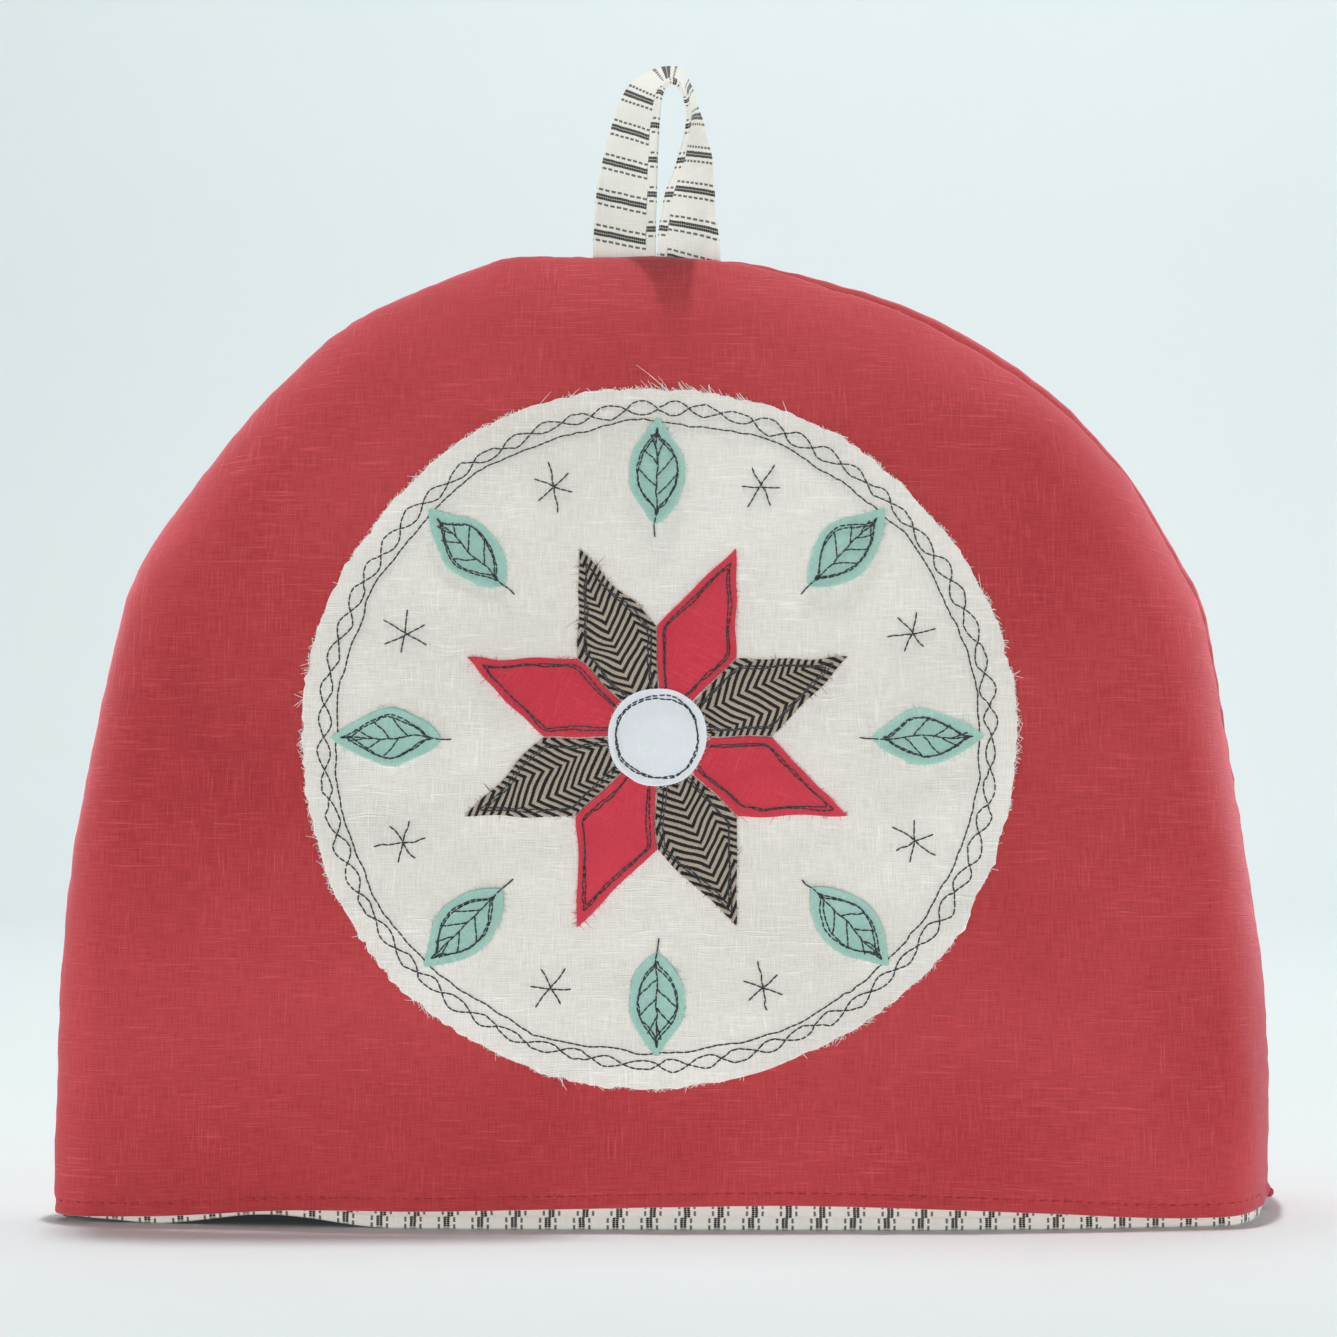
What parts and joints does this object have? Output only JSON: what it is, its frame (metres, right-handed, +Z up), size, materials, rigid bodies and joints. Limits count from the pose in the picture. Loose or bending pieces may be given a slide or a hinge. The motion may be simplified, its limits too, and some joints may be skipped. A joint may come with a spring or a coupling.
{
  "type": "tea cosy",
  "caption": "Domed quilted cloth cover for a teapot, open at the hem, with a striped lining, a hanging loop and a round appliqued patch on the front.",
  "frame": {"origin": "on the surface it stands on, at the bottom centre of the bounding box", "axes": "+X along the hem to the right as seen from the front, -Y towards the front with the round patch, +Z up through the hanging loop"},
  "size_m": [0.3437, 0.1081, 0.3283],
  "materials": {
    "outer_cloth": "muted red slubbed plain-weave cotton over wadding, matt",
    "lining_cloth": "cream cotton ticking with groups of fine dark grey lines, matt",
    "loop_tape": "folded and topstitched cream ticking tape with fine dark grey lines across it",
    "patch_linen": "off-white slubbed linen with a raw frayed edge",
    "star_red": "bright red cotton with a raw edge and black stitching",
    "star_tweed": "brown and fawn herringbone wool tweed with a raw edge",
    "star_white": "white cotton with black stitching",
    "leaf_cotton": "mint green cotton with black stitched outlines and veins"
  },
  "bodies": {
    "root": {"front_panel": "outer_cloth", "back_panel": "outer_cloth", "front_lining": "lining_cloth", "back_lining": "lining_cloth", "hanging_loop": "loop_tape", "round_patch": "patch_linen", "star_diamond_1": "star_red", "star_diamond_2": "star_tweed", "star_diamond_3": "star_red", "star_diamond_4": "star_tweed", "star_diamond_5": "star_red", "star_diamond_6": "star_tweed", "star_diamond_7": "star_red", "star_diamond_8": "star_tweed", "star_centre": "star_white", "mint_leaf_1": "leaf_cotton", "mint_leaf_2": "leaf_cotton", "mint_leaf_3": "leaf_cotton", "mint_leaf_4": "leaf_cotton", "mint_leaf_5": "leaf_cotton", "mint_leaf_6": "leaf_cotton", "mint_leaf_7": "leaf_cotton", "mint_leaf_8": "leaf_cotton"}
  },
  "joints": []
}
